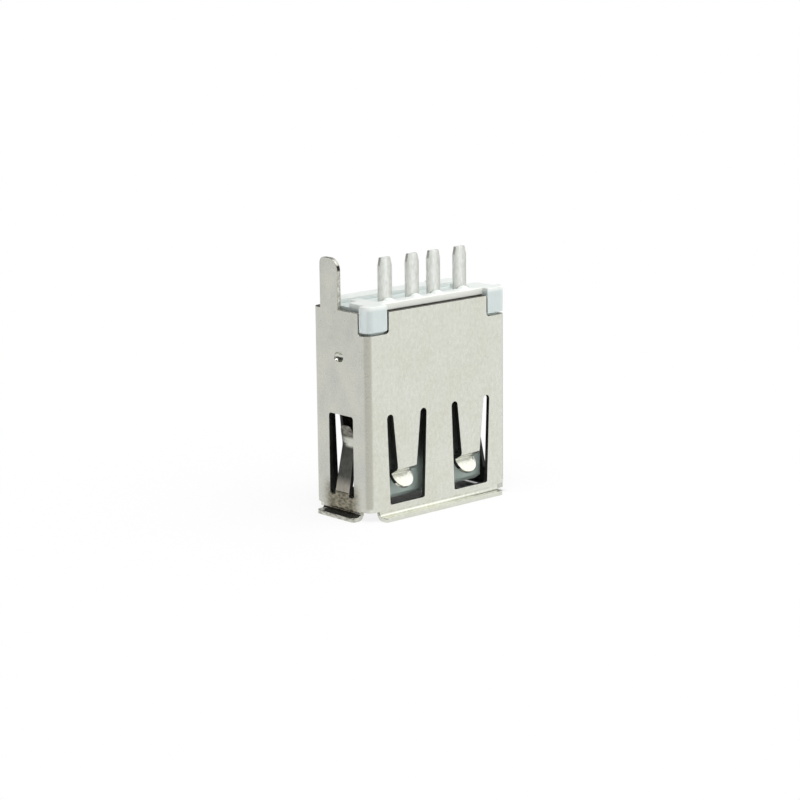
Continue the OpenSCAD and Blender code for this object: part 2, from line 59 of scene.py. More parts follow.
# %% [markdown]
# Soft edges
#
# No real edge is perfectly sharp: a punch leaves sheet slightly rolled, and a mould leaves plastic
# slightly round. Such an edge catches a thin line of light, and without it metal looks like card.
# The edges could be rounded in the solids, but that would make them heavy for a few hundredths of a
# millimetre. Here each solid is copied, its loose triangles are merged, flat areas are joined into
# single faces, and a bevel rounds what is left. The copy stands for the solid.
#
# A bevel can be told to stop before it runs into its neighbours. That is switched off here, because
# one very short edge would then hold back all the others. Edges that short are merged first.

# %% A helper that copies a solid as clean faces
MERGE_WITHIN = 0.015 * MM
FLAT_WITHIN = math.radians(0.3)


def clean_copy(node_name, piece_name):
    bpy.ops.object.select_all(action="DESELECT")
    node = frame["nodes"][node_name]
    node.select_set(True)
    bpy.context.view_layer.objects.active = node
    bpy.ops.object.duplicate()
    piece = bpy.context.view_layer.objects.active
    piece.name = piece_name
    bpy.ops.object.mode_set(mode="EDIT")
    bpy.ops.mesh.select_all(action="SELECT")
    bpy.ops.mesh.remove_doubles(threshold=MERGE_WITHIN)
    bpy.ops.mesh.dissolve_limited(angle_limit=FLAT_WITHIN)
    bpy.ops.object.mode_set(mode="OBJECT")
    return piece


# %% A helper that rounds edges with a bevel
SHARP = math.radians(40)


def bevel_edges(piece, name, width, segments, limit):
    bevel = piece.modifiers.new(name, "BEVEL")
    bevel.width = width
    bevel.segments = segments
    bevel.limit_method = limit
    bevel.angle_limit = SHARP
    bevel.use_clamp_overlap = False
    bpy.ops.object.modifier_apply(modifier=bevel.name)


# %% [markdown]
# The moulding's round top
#
# The posts, lands and ledge at the top of the moulding are rounder at their outer edges than the
# rest. One wide bevel on every edge would swallow the fine ones, so only these edges get a weight,
# and a bevel of their own follows the weight. They are found by their height and by their distance
# from the middle, which leaves out the edges of the hollow round the pins.

# %% A helper that marks the outer edges of a moulding's top
HOLLOW_HALF = 4.4 * MM
HOLLOW_FRONT = -2.2 * MM
HOLLOW_REAR = 2.5 * MM
SAME_HEIGHT = 0.01 * MM
FACE_BELOW = 0.02 * MM


def mark_top_edges(piece, top):
    mesh = piece.data
    faces_of = {}
    for face in mesh.polygons:
        for key in face.edge_keys:
            faces_of.setdefault(key, []).append(face)
    weights = mesh.attributes.new("bevel_weight_edge", "FLOAT", "EDGE")
    marked = 0
    for edge in mesh.edges:
        first, second = [mesh.vertices[index].co for index in edge.vertices]
        middle = (first + second) / 2
        level = max(abs(first.z - top), abs(second.z - top)) < SAME_HEIGHT
        outer = abs(middle.x) > HOLLOW_HALF or middle.y < HOLLOW_FRONT or middle.y > HOLLOW_REAR
        below = min(face.center.z for face in faces_of[edge.key]) < top - FACE_BELOW
        if level and outer and below:
            weights.data[edge.index].value = 1
            marked += 1
    print("top edges marked:", marked)


# %% [markdown]
# Even light on flat walls
#
# Smooth shading averages the directions of the faces round each corner, so the light on a flat wall
# would bend next to every hole. The average is weighted by area, which leaves the turn of the light
# to the narrow bevels. On faces with many corners a little of the bend is still left, so there each
# corner is set square to its own face.

# %% A helper that keeps the light on a flat wall even, right up to a hole in it
LEAST_WALL = 0.2 * MM * MM


def keep_flat(piece):
    mesh = piece.data
    normals = [corner.vector.copy() for corner in mesh.corner_normals]
    for face in mesh.polygons:
        many_sided = len(face.vertices) > 4
        if many_sided and face.area > LEAST_WALL:
            for corner in face.loop_indices:
                normals[corner] = face.normal.copy()
    mesh.normals_split_custom_set(normals)


# %% A helper that makes a soft-edged piece in place of a solid
TOP_ROUND = 0.07 * MM
TOP_SEGMENTS = 3
EDGE_SEGMENTS = 2
LARGEST_FACE_WINS = 100


def soft_piece(node_name, piece_name, edge_width, top=None):
    piece = clean_copy(node_name, piece_name)
    if top:
        mark_top_edges(piece, top)
        bevel_edges(piece, "round top", TOP_ROUND, TOP_SEGMENTS, "WEIGHT")
    bevel_edges(piece, "soft edges", edge_width, EDGE_SEGMENTS, "ANGLE")
    bpy.ops.object.shade_smooth_by_angle(angle=SHARP)
    even = piece.modifiers.new("even light", "WEIGHTED_NORMAL")
    even.mode = "FACE_AREA"
    even.weight = LARGEST_FACE_WINS
    even.keep_sharp = True
    bpy.ops.object.modifier_apply(modifier=even.name)
    keep_flat(piece)
    piece.data.materials.clear()
    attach(piece, "root")
    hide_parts(node_name)
    print(piece_name, "has", len(piece.data.polygons), "faces")
    return piece


# %% Make the six pieces
SHEET_EDGE = 0.02 * MM
MOULDING_EDGE = 0.03 * MM
STRIP_EDGE = 0.03 * MM
mount_height = {mount["name"]: mount["pos_m"][2] for mount in frame["record"]["mounts"]}
seat = mount_height["board_seat"]
shell_sheet = soft_piece("shell", "shell_sheet", SHEET_EDGE)
insulator_moulding = soft_piece("insulator", "insulator_moulding", MOULDING_EDGE, seat)
contact_strips = []
for number in range(1, 5):
    strip = soft_piece(f"contact_{number}", f"contact_strip_{number}", STRIP_EDGE)
    contact_strips.append(strip)

# %% [markdown]
# Marks that several finishes share
#
# Plated sheet, cut sheet and moulded plastic are all a little uneven: cloudy over a millimetre or
# two and mottled over a quarter of one. A finish also changes from place to place, as where one
# plating ends or a plug rubs. Pictures could hold all this, but they blur close up and have to be
# wrapped round every fold. Here two kinds of node group each put out one value from 0 to 1, and a
# finish places them with numbers of its own. They follow the object's own coordinates, so they stay
# put whatever the view.


# %% A helper that starts a group with named inputs
def new_group(name, inputs):
    group = bpy.data.node_groups.new(name, "ShaderNodeTree")
    for socket_name, kind in inputs.items():
        group.interface.new_socket(socket_name, in_out="INPUT", socket_type=f"NodeSocket{kind}")
    group.interface.new_socket("Mark", in_out="OUTPUT", socket_type="NodeSocketFloat")
    given = group.nodes.new("NodeGroupInput")
    place = group.nodes.new("ShaderNodeTexCoord")
    result = group.nodes.new("NodeGroupOutput")
    print("group", name, "takes", list(inputs))
    return group, given.outputs, place.outputs["Object"], result.inputs["Mark"]


# %% Uneven patches, from noise stretched to the size of a grain
uneven, given, point, mark = new_group("uneven", {"Grain": "Vector", "Low": "Float", "High": "Float"})
nodes = uneven.nodes
links = uneven.links
stretch = nodes.new("ShaderNodeVectorMath")
stretch.operation = "DIVIDE"
noise = nodes.new("ShaderNodeTexNoise")
noise.inputs["Scale"].default_value = 1
noise.inputs["Detail"].default_value = 3
contrast = nodes.new("ShaderNodeMapRange")
links.new(point, stretch.inputs[0])
links.new(given["Grain"], stretch.inputs[1])
links.new(stretch.outputs["Vector"], noise.inputs["Vector"])
links.new(noise.outputs["Fac"], contrast.inputs["Value"])
links.new(given["Low"], contrast.inputs["From Min"])
links.new(given["High"], contrast.inputs["From Max"])
links.new(contrast.outputs["Result"], mark)

# %% The uneven marks on this socket, by the size of their grain and their contrast
CLOUDS = {"Grain": (1.6 * MM, 1.6 * MM, 2.4 * MM), "Low": 0.3, "High": 0.7}
MOTTLE = {"Grain": (0.24 * MM, 0.24 * MM, 0.34 * MM), "Low": 0.3, "High": 0.7}
RUBS = {"Grain": (0.3 * MM, 0.36 * MM, 0.15 * MM), "Low": 0.36, "High": 0.66}
STREAKS = {"Grain": (0.2 * MM, 0.2 * MM, 0.45 * MM), "Low": 0.3, "High": 0.7}
for name, kind in (("clouds", CLOUDS), ("mottles", MOTTLE), ("rubs", RUBS), ("streaks", STREAKS)):
    print(name, "have a grain of", [round(size / MM, 2) for size in kind["Grain"]], "mm")


# %% Regions, by how far a point lies in one direction, on one side or on both
def region_group(name, mirrored):
    inputs = {"Direction": "Vector", "Start": "Float", "End": "Float"}
    group, given, point, mark = new_group(name, inputs)
    nodes = group.nodes
    links = group.links
    if mirrored:
        mirror = nodes.new("ShaderNodeVectorMath")
        mirror.operation = "ABSOLUTE"
        links.new(point, mirror.inputs[0])
        point = mirror.outputs["Vector"]
    distance = nodes.new("ShaderNodeVectorMath")
    distance.operation = "DOT_PRODUCT"
    span = nodes.new("ShaderNodeMapRange")
    span.interpolation_type = "SMOOTHSTEP"
    links.new(point, distance.inputs[0])
    links.new(given["Direction"], distance.inputs[1])
    links.new(distance.outputs["Value"], span.inputs["Value"])
    links.new(given["Start"], span.inputs["From Min"])
    links.new(given["End"], span.inputs["From Max"])
    links.new(span.outputs["Result"], mark)
    return group


region = region_group("region", mirrored=False)
twin_region = region_group("twin_region", mirrored=True)


# %% Helpers that place a group in a finish
UP = (0, 0, 1)
FRONT = (0, -1, 0)
LONG_WAY = (1, 0, 0)
SHORT_WAY = (0, 1, 0)


def add_mark(nodes, group, values):
    placed = nodes.new("ShaderNodeGroup")
    placed.node_tree = group
    for socket_name, value in values.items():
        placed.inputs[socket_name].default_value = value
    return placed.outputs["Mark"]


def one_side(nodes, direction, start, end):
    return add_mark(nodes, region, {"Direction": direction, "Start": start, "End": end})


def both_sides(nodes, direction, start, end):
    return add_mark(nodes, twin_region, {"Direction": direction, "Start": start, "End": end})


# %% [markdown]
# Helpers for the finishes
#
# Every finish is a Principled shader whose sockets are fed by blends of marks. The same few nodes
# come back each time, so each has a helper. A Mix node keeps sockets of the same names for numbers
# and for colours, and so its colour sockets are picked by their numbers.


# %% Helpers for a material and a blend of two colours
COLOUR_A = 6
COLOUR_B = 7
COLOUR_RESULT = 2


def new_material(name):
    material = bpy.data.materials.new(name)
    material.use_nodes = True
    nodes = material.node_tree.nodes
    print("finish", name)
    return material, nodes, material.node_tree.links, nodes["Principled BSDF"]


def blend(nodes, links, amount, first, second):
    mix = nodes.new("ShaderNodeMix")
    mix.data_type = "RGBA"
    links.new(amount, mix.inputs["Factor"])
    for number, colour in ((COLOUR_A, first), (COLOUR_B, second)):
        if isinstance(colour, tuple):
            mix.inputs[number].default_value = (*colour, 1)
        else:
            links.new(colour, mix.inputs[number])
    return mix.outputs[COLOUR_RESULT]


# %% Helpers for sums, overlaps and ranges of marks, and for relief
def work_out(nodes, links, operation, *values):
    step = nodes.new("ShaderNodeMath")
    step.operation = operation
    for socket, value in zip(step.inputs, values):
        if isinstance(value, (int, float)):
            socket.default_value = value
        else:
            links.new(value, socket)
    return step.outputs["Value"]


def overlap(nodes, links, first, second):
    return work_out(nodes, links, "MULTIPLY", first, second)


def spread(nodes, links, value, low, high, start=0, end=1):
    span = nodes.new("ShaderNodeMapRange")
    span.inputs["From Min"].default_value = start
    span.inputs["From Max"].default_value = end
    span.inputs["To Min"].default_value = low
    span.inputs["To Max"].default_value = high
    links.new(value, span.inputs["Value"])
    return span.outputs["Result"]


def add_relief(nodes, links, shader, height, depth):
    bump = nodes.new("ShaderNodeBump")
    bump.inputs["Strength"].default_value = 1
    bump.inputs["Distance"].default_value = depth
    links.new(height, bump.inputs["Height"])
    links.new(bump.outputs["Normal"], shader.inputs["Normal"])


# %% [markdown]
# Where things are on the socket
#
# A finish that changes from place to place has to know where the walls, the lips and the leg are.
# The numbers could be typed in, but they would be wrong after the first change to the solids. So
# they are measured: the corner posts are flush with the shell's walls, the leg is the shell's
# highest point, and the mount for a plug lies at the top of the lips.

# %% Measure the walls, the lips and the leg
wall_x, wall_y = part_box("insulator")[1][:2]
leg_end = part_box("shell")[1][2]
lip_top = mount_height["plug_mouth"]
measures = {"long half": wall_x, "short half": wall_y, "lip top": lip_top, "leg end": leg_end}
for name, size in measures.items():
    print(name, round(size / MM, 2), "mm")

# %% [markdown]
# Satin nickel
#
# The outside of the shell is nickel over rolled sheet: pale, a little warm and satin, with a faint
# mottle a few thousandths of a millimetre deep. The short sides get a darker painted shade, the folds
# a greyer painted shade, and the mouth ends of the short sides are rubbed brown. The tool that bent
# the lips over has burnished them, so they mirror the room more sharply. Each of these could be a
# material of its own with a hard border, but on the real sheet they run into each other. So it is one
# material, and each painted shade and kind of wear is blended in over the last.

# %% Satin nickel: the plate, and the painted shade on the short sides
PLATE_METAL = 0.95
BRIGHT_PLATE = ((0.705, 0.71, 0.625), (0.725, 0.74, 0.675))
DULL_PLATE = ((0.62, 0.625, 0.54), (0.655, 0.665, 0.60))
SHADED_SIDE_PLATE = ((0.415, 0.43, 0.42), (0.555, 0.54, 0.475))
SIDE_SHADE = 0.55
nickel, nodes, links, shader = new_material("satin_nickel")
clouds = add_mark(nodes, uneven, CLOUDS)
mottle = add_mark(nodes, uneven, MOTTLE)
bright_plate = blend(nodes, links, clouds, *BRIGHT_PLATE)
dull_plate = blend(nodes, links, clouds, *DULL_PLATE)
plate_colour = blend(nodes, links, mottle, dull_plate, bright_plate)
# The short sides get a darker painted shade, blended over the plate.
short_side = both_sides(nodes, LONG_WAY, wall_x - 0.25 * MM, wall_x - 0.05 * MM)
side_shade = spread(nodes, links, short_side, 0, SIDE_SHADE)
shaded_side_plate = blend(nodes, links, clouds, *SHADED_SIDE_PLATE)
plate_colour = blend(nodes, links, side_shade, plate_colour, shaded_side_plate)
shader.inputs["Metallic"].default_value = PLATE_METAL

# %% Satin nickel: the painted shade on the folds round the corners of the box
FOLD_WAY = (1, 0.95, 0)
FOLD_START = 8.79 * MM
FOLD_END = 8.9 * MM
FOLD_SHADE = 0.8
FOLD_SHADE_TONE = (0.46, 0.455, 0.395)
lip_fade = (lip_top + 0.15 * MM, lip_top + 0.35 * MM)
at_corner = both_sides(nodes, FOLD_WAY, FOLD_START, FOLD_END)
above_lips = one_side(nodes, UP, *lip_fade)
folded = overlap(nodes, links, at_corner, above_lips)
fold_shade = spread(nodes, links, folded, 0, FOLD_SHADE)
# The folds round the corners get a greyer painted shade.
plate_colour = blend(nodes, links, fold_shade, plate_colour, FOLD_SHADE_TONE)
print("folds worn by", FOLD_SHADE)

# %% Satin nickel: the rubbed mouth ends of the short sides
MOUTH_WEAR = 0.95
RUBBED_PLATE = ((0.285, 0.26, 0.19), (0.075, 0.065, 0.042))
CLEAN_FROM = 2.9 * MM
RUBBED_UP_TO = 1.6 * MM
CLEAN_CORNER = 2.2 * MM
RUBBED_HALF = 1.0 * MM
mouth_end = one_side(nodes, UP, CLEAN_FROM, RUBBED_UP_TO)
short_of_lip = both_sides(nodes, LONG_WAY, wall_x + 0.2 * MM, wall_x + 0.05 * MM)
off_corner = both_sides(nodes, SHORT_WAY, CLEAN_CORNER, RUBBED_HALF)
rubbed_part = short_side
for limit in (mouth_end, short_of_lip, off_corner):
    rubbed_part = overlap(nodes, links, rubbed_part, limit)
rubs = add_mark(nodes, uneven, RUBS)
rubbed = blend(nodes, links, rubs, *RUBBED_PLATE)
mouth_wear = spread(nodes, links, rubbed_part, 0, MOUTH_WEAR)
plate_colour = blend(nodes, links, mouth_wear, plate_colour, rubbed)
links.new(plate_colour, shader.inputs["Base Color"])
print("mouth ends rubbed by", MOUTH_WEAR)

# %% Satin nickel: its gloss and its relief
SATIN = (0.22, 0.28)
BURNISHED = 0.12
PLATE_RELIEF = 0.008 * MM
on_lips = one_side(nodes, UP, *reversed(lip_fade))
gloss = nodes.new("ShaderNodeMix")
gloss.inputs["B"].default_value = BURNISHED
links.new(on_lips, gloss.inputs["Factor"])
links.new(spread(nodes, links, mottle, *SATIN), gloss.inputs["A"])
links.new(gloss.outputs["Result"], shader.inputs["Roughness"])
add_relief(nodes, links, shader, mottle, PLATE_RELIEF)
shell_sheet.data.materials.append(nickel)
print("lips burnished to a roughness of", BURNISHED)

# %% [markdown]
# The inside and the cut edges
#
# The inside of the folded box sees hardly any light, so it is given a near-black painted shade, but
# the same side of the sheet is bright where the solder leg stands clear of the box. The sheet's cut
# edges were plated with the rest, but the rear edges of the long walls, the round corners of the leg
# and the ends of the lips are given dark metal. The edges of windows and notches get the inside's
# painted shade. They could all be marks in the nickel, but a cut edge has a hard border of its own,
# so each is a material that is given to faces.

# %% The inside's near-black painted shade, and the bright plate where the leg stands clear
INSIDE_METAL = 0.5
INSIDE_ROUGH = 0.5
LEG_ROUGH = 0.25
INSIDE_SHADE_PLATE = ((0.02, 0.022, 0.02), (0.035, 0.038, 0.034))
LEG_PLATE = ((0.60, 0.605, 0.525), (0.705, 0.72, 0.66))
inside_shade, nodes, links, shader = new_material("inside_painted_shade")
clouds = add_mark(nodes, uneven, CLOUDS)
on_leg = one_side(nodes, UP, seat - 0.55 * MM, seat - 0.45 * MM)
# The inside gets a near-black painted shade; the leg keeps its bright plate.
inside_shade_plate = blend(nodes, links, clouds, *INSIDE_SHADE_PLATE)
leg_plate = blend(nodes, links, clouds, *LEG_PLATE)
links.new(blend(nodes, links, on_leg, inside_shade_plate, leg_plate), shader.inputs["Base Color"])
links.new(spread(nodes, links, on_leg, INSIDE_METAL, PLATE_METAL), shader.inputs["Metallic"])
links.new(spread(nodes, links, on_leg, INSIDE_ROUGH, LEG_ROUGH), shader.inputs["Roughness"])
shell_sheet.data.materials.append(inside_shade)

# %% Sheared edge, with the dark round corner of the leg
SHEARED_METAL = ((0.66, 0.66, 0.59), (0.34, 0.33, 0.28))
DARK_METAL = (0.03, 0.028, 0.022)
CUT_RELIEF = 0.006 * MM
sheared, nodes, links, shader = new_material("sheared_edge")
rubs = add_mark(nodes, uneven, RUBS)
edge_colour = blend(nodes, links, rubs, *SHEARED_METAL)
above_side = one_side(nodes, UP, leg_end - 0.95 * MM, leg_end - 0.75 * MM)
below_end = one_side(nodes, UP, leg_end - 0.4 * MM, leg_end - 0.55 * MM)
dark_corner = overlap(nodes, links, above_side, below_end)
edge_colour = blend(nodes, links, dark_corner, edge_colour, DARK_METAL)
links.new(edge_colour, shader.inputs["Base Color"])
shader.inputs["Metallic"].default_value = PLATE_METAL
shader.inputs["Roughness"].default_value = 0.32
add_relief(nodes, links, shader, rubs, CUT_RELIEF)
shell_sheet.data.materials.append(sheared)

# %% Dark rear edge
REAR_METAL = ((0.03, 0.027, 0.02), (0.07, 0.06, 0.045))
rear, nodes, links, shader = new_material("dark_rear_edge")
mottle = add_mark(nodes, uneven, MOTTLE)
links.new(blend(nodes, links, mottle, *REAR_METAL), shader.inputs["Base Color"])
shader.inputs["Metallic"].default_value = 0.5
shader.inputs["Roughness"].default_value = 0.45
shell_sheet.data.materials.append(rear)

# %% [markdown]
# The short fingers
#
# Each short finger leans into the box. Its slope and its end mirror the dark side of a room, and its
# root and its crest mirror the paper. A second, darker backdrop could do this, but it would show in
# the walls as well, so these reflections are painted into the finger's colour instead: a dark painted
# reflection on its slope and its end, where rub marks break it up, and a bright one on its root and
# its crest.

# %% The finger's painted reflections: their tones and the heights between which each fades in
SLOPE_REFLECTION = ((0.13, 0.13, 0.115), (0.20, 0.20, 0.18))
# Bright painted reflections of the paper on the finger's root and crest.
ROOT = ((0.60, 0.565, 0.48), (0.74, 0.70, 0.61))
CREST = ((0.56, 0.57, 0.51), (0.66, 0.67, 0.60))
END_REFLECTION_AND_RUBS = ((0.08, 0.075, 0.062), (0.28, 0.275, 0.24))
ROOT_FADE = (2.9 * MM, 2.0 * MM)
CREST_FADE = (4.7 * MM, 4.95 * MM)
END_FADE = (5.35 * MM, 5.6 * MM)
print("finger's crest starts", round(CREST_FADE[0] / MM, 1), "mm above the paper")

# %% The finger's painted reflections
finger_painted_reflections, nodes, links, shader = new_material("finger_painted_reflections")
mottle = add_mark(nodes, uneven, MOTTLE)
rubs = add_mark(nodes, uneven, RUBS)
slope = blend(nodes, links, mottle, *SLOPE_REFLECTION)
root = blend(nodes, links, mottle, *ROOT)
crest = blend(nodes, links, mottle, *CREST)
end_reflection_and_rubs = blend(nodes, links, rubs, *END_REFLECTION_AND_RUBS)
finger_colour = slope
for fade, tone in ((ROOT_FADE, root), (CREST_FADE, crest), (END_FADE, end_reflection_and_rubs)):
    finger_colour = blend(nodes, links, one_side(nodes, UP, *fade), finger_colour, tone)
links.new(finger_colour, shader.inputs["Base Color"])
shader.inputs["Metallic"].default_value = PLATE_METAL
shader.inputs["Roughness"].default_value = 0.3
shell_sheet.data.materials.append(finger_painted_reflections)

# %% [markdown]
# Which finish each face of the shell gets
#
# The faces could be picked by hand, but there are thousands. A face's middle says which wall it
# belongs to, and its direction says whether it looks out of the box, into it or along the sheet.

# %% A helper that says how far a face looks out of the box, from -1 to 1
SIDE_X = 5.4 * MM
SIDE_Y = 1.8 * MM


def outward_turn(face):
    turn = 0
    if abs(face.center.x) > SIDE_X:
        turn = face.normal.x * math.copysign(1, face.center.x)
    if abs(face.center.y) > SIDE_Y:
        turn_y = face.normal.y * math.copysign(1, face.center.y)
        if abs(turn_y) > abs(turn):
            turn = turn_y
    return turn


# %% A helper that picks a face's finish, numbered in the order of the shell's materials
OUTSIDE, SHADED_INSIDE, CUT, REAR, FINGER = range(5)
FACING = 0.3
UPRIGHT = 0.5
LIP_RIM = 0.7
WINDOW_TOP = 8 * MM
WINDOW_LOW = 1.5 * MM
FINGER_HALF = 0.8 * MM
over_lips = lip_top + 0.01 * MM
rear_edge = seat - 0.6 * MM
long_wall = wall_y - 0.36 * MM
short_wall = wall_x - 0.02 * MM
short_lip = wall_x + 0.05 * MM


def finish_of(face):
    turn = outward_turn(face)
    x, y, z = abs(face.center.x), abs(face.center.y), face.center.z
    along_wall = abs(face.normal.z) < UPRIGHT
    # Faces that look into the box get the inside's painted shade.
    if turn < -FACING:
        return SHADED_INSIDE
    if z > rear_edge and face.normal.z > FACING and y > long_wall:
        return REAR
    if turn < FACING and z > over_lips:
        # Window and slot edges and the sides of notches also get the inside's painted shade.
        in_notch = face.center.y < -SIDE_Y and along_wall
        return SHADED_INSIDE if z < WINDOW_TOP or in_notch else CUT
    if z < over_lips and along_wall:
        if turn < LIP_RIM:
            return REAR
        return CUT if x > short_lip else OUTSIDE
    if y < FINGER_HALF and SIDE_X < x < short_wall and WINDOW_LOW < z < WINDOW_TOP:
        return FINGER
    return OUTSIDE


# %% Give each face of the shell its finish
counts = [0] * len(shell_sheet.data.materials)
for face in shell_sheet.data.polygons:
    face.material_index = finish_of(face)
    counts[face.material_index] += 1
print("outside, inside, cut, rear and finger faces:", counts)

# %% [markdown]
# Pale plastic
#
# The insulator is a pale blue-green moulding with a satin skin. Its corner posts and the floor of its
# hollow are thin, and a little of the dark behind them comes through, so the moulding below its top
# is given a painted shade a little deeper than the top, and the posts' faces at the short ends a
# painted light. The rib between the posts is solid, and its front is given a painted light that makes
# it nearly white; its foot gets a painted shade for the dark of the narrow gap beside the sheet.
# Light could be scattered inside the plastic for this, but that is slow and is lost when the model
# leaves Blender, so the tones are blended by place.

# %% Pale plastic: the top, the painted shade below it, and the painted light on the posts' short ends
PLAIN_PLASTIC = ((0.86, 0.895, 0.87), (0.89, 0.925, 0.90))
BELOW_TOP_SHADE = ((0.62, 0.695, 0.68), (0.66, 0.735, 0.72))
POST_SIDE_LIGHT = (0.84, 0.92, 0.91)
plastic, nodes, links, shader = new_material("pale_plastic")
clouds = add_mark(nodes, uneven, CLOUDS)
mottle = add_mark(nodes, uneven, MOTTLE)
plain_plastic = blend(nodes, links, clouds, *PLAIN_PLASTIC)
below_top_shade = blend(nodes, links, clouds, *BELOW_TOP_SHADE)
# Painted light on the posts' faces at the short ends.
post_side_light = both_sides(nodes, LONG_WAY, wall_x - 0.2 * MM, wall_x - 0.05 * MM)
below_top_shade = blend(nodes, links, post_side_light, below_top_shade, POST_SIDE_LIGHT)
# Below its top the moulding gets a deeper painted shade.
under_top = one_side(nodes, UP, seat - 0.1 * MM, seat - 0.4 * MM)
plastic_colour = blend(nodes, links, under_top, plain_plastic, below_top_shade)

# %% Pale plastic: the painted light on the rib between the posts, and the painted shade at its foot
RIB_FRONT_LIGHT = (0.95, 0.97, 0.90)
GAP_SHADE = (0.035, 0.035, 0.025)
RIB_END = 4.71 * MM
RIB_FULL = 4.67 * MM
rib_face = one_side(nodes, FRONT, wall_y - 0.61 * MM, wall_y - 0.56 * MM)
between_posts = both_sides(nodes, LONG_WAY, RIB_END, RIB_FULL)
rib = overlap(nodes, links, rib_face, between_posts)
# Painted light on the rib's front.
plastic_colour = blend(nodes, links, rib, plastic_colour, RIB_FRONT_LIGHT)
low_down = one_side(nodes, UP, seat - 0.42 * MM, seat - 0.5 * MM)
rib_foot_shade = overlap(nodes, links, rib, low_down)
# Painted shade at the rib's foot, beside the gap.
plastic_colour = blend(nodes, links, rib_foot_shade, plastic_colour, GAP_SHADE)
links.new(plastic_colour, shader.inputs["Base Color"])
print("rib is", round(2 * RIB_END / MM, 2), "mm long")

# %% Pale plastic: its satin skin
SATIN_SKIN = (0.36, 0.46)
SKIN_RELIEF = 0.006 * MM
links.new(spread(nodes, links, mottle, *SATIN_SKIN), shader.inputs["Roughness"])
add_relief(nodes, links, shader, mottle, SKIN_RELIEF)
insulator_moulding.data.materials.append(plastic)
print("skin relief", SKIN_RELIEF / MM, "mm")

# %% [markdown]
# The tongue's plain face
#
# The tongue's plain face looks at the inside of a wall less than a millimetre away. Only its end
# near the mouth gets light; further in it is greenish and nearly black. Light alone doesn't make it
# dark enough, because the paper under the socket is brighter here than a bench would be, so the
# face is given a darker tone that grows with its depth.

# %% Shaded plastic
TONGUE_TONES = ((0.62, 0.74, 0.68), (0.12, 0.145, 0.12))
LIT_UP_TO = 2.4 * MM
DARK_FROM = 4.2 * MM
shaded, nodes, links, shader = new_material("shaded_plastic")
depth = one_side(nodes, UP, LIT_UP_TO, DARK_FROM)
links.new(blend(nodes, links, depth, *TONGUE_TONES), shader.inputs["Base Color"])
shader.inputs["Roughness"].default_value = 0.5
insulator_moulding.data.materials.append(shaded)

# %% Give the tongue's plain face its tone
TONGUE_ROOT = 10.15 * MM
SHADED = len(insulator_moulding.data.materials) - 1
shaded_count = 0
for face in insulator_moulding.data.polygons:
    if face.normal.y < -FACING and face.center.z < TONGUE_ROOT:
        face.material_index = SHADED
        shaded_count += 1
print("shaded faces:", shaded_count)

# %% [markdown]
# Plated strip
#
# Each contact is one strip with two platings: dull tin on the pin, to take solder, and gold on the
# spring, to touch the plug. The tin is drawn along the strip, so its streaks run upwards, and it
# scatters light more than it mirrors it. Towards the strip's edges the tin is given a greyer painted
# shade. A material for each strip could follow its edges, but one is enough: every point of a strip
# carries a number, from -1 at its left edge to 1 at its right one, and the finish reads it.

# %% Number the points of each strip from edge to edge
for strip in contact_strips:
    points = strip.data.vertices
    left = min(point.co.x for point in points)
    right = max(point.co.x for point in points)
    across = strip.data.attributes.new("across", "FLOAT", "POINT")
    for point in points:
        across.data[point.index].value = (2 * point.co.x - left - right) / (right - left)
    print(strip.name, "is", round((right - left) / MM, 2), "mm wide")

# %% Plated strip: the tin, with a greyer painted shade towards the strip's edges
PLAIN_TIN = ((0.69, 0.705, 0.665), (0.87, 0.89, 0.85))
TIN_EDGE_SHADE = ((0.47, 0.48, 0.44), (0.58, 0.59, 0.55))
MIDDLE_BAND = 0.15
FACE_EDGE = 0.95
STRIP_SIDE = 0.99
plate, nodes, links, shader = new_material("plated_strip")
streaks = add_mark(nodes, uneven, STREAKS)
across = nodes.new("ShaderNodeAttribute")
across.attribute_name = "across"
from_middle = work_out(nodes, links, "ABSOLUTE", across.outputs["Fac"])
near_edge = spread(nodes, links, from_middle, 0, 1, MIDDLE_BAND, FACE_EDGE)
on_face = spread(nodes, links, from_middle, 0, 1, STRIP_SIDE, FACE_EDGE)
# A painted shade, greyer towards the edges of the strip's faces.
shade_near_edges = overlap(nodes, links, near_edge, on_face)
plain_tin = blend(nodes, links, streaks, *PLAIN_TIN)
tin_edge_shade = blend(nodes, links, streaks, *TIN_EDGE_SHADE)
tin = blend(nodes, links, shade_near_edges, plain_tin, tin_edge_shade)

# %% Plated strip: the gold, and where it changes to tin
GOLD = ((0.36, 0.24, 0.07), (0.48, 0.33, 0.11))
GOLD_METAL = 0.95
TIN_METAL = 0.4
GOLD_END = 11.5 * MM
TIN_START = 12.5 * MM
STRIP_RELIEF = 0.01 * MM
tinned = one_side(nodes, UP, GOLD_END, TIN_START)
gold = blend(nodes, links, streaks, *GOLD)
links.new(blend(nodes, links, tinned, gold, tin), shader.inputs["Base Color"])
links.new(spread(nodes, links, tinned, GOLD_METAL, TIN_METAL), shader.inputs["Metallic"])
shader.inputs["Roughness"].default_value = 0.42
add_relief(nodes, links, shader, streaks, STRIP_RELIEF)
for strip in contact_strips:
    strip.data.materials.append(plate)
print("tin starts", round(TIN_START / MM, 1), "mm above the paper")

# %% [markdown]
# The floor
#
# The socket stands on white paper. More light could make the paper white, but it would bleach the
# socket too. So the paper is plain white to the camera and in mirrors, and only ordinary paper to
# other light. It keeps a little of its own shading near the socket, which gives the shadow, and all
# of it under the mouth, apart from the left end, where the paper is painted plain white over its
# shade.

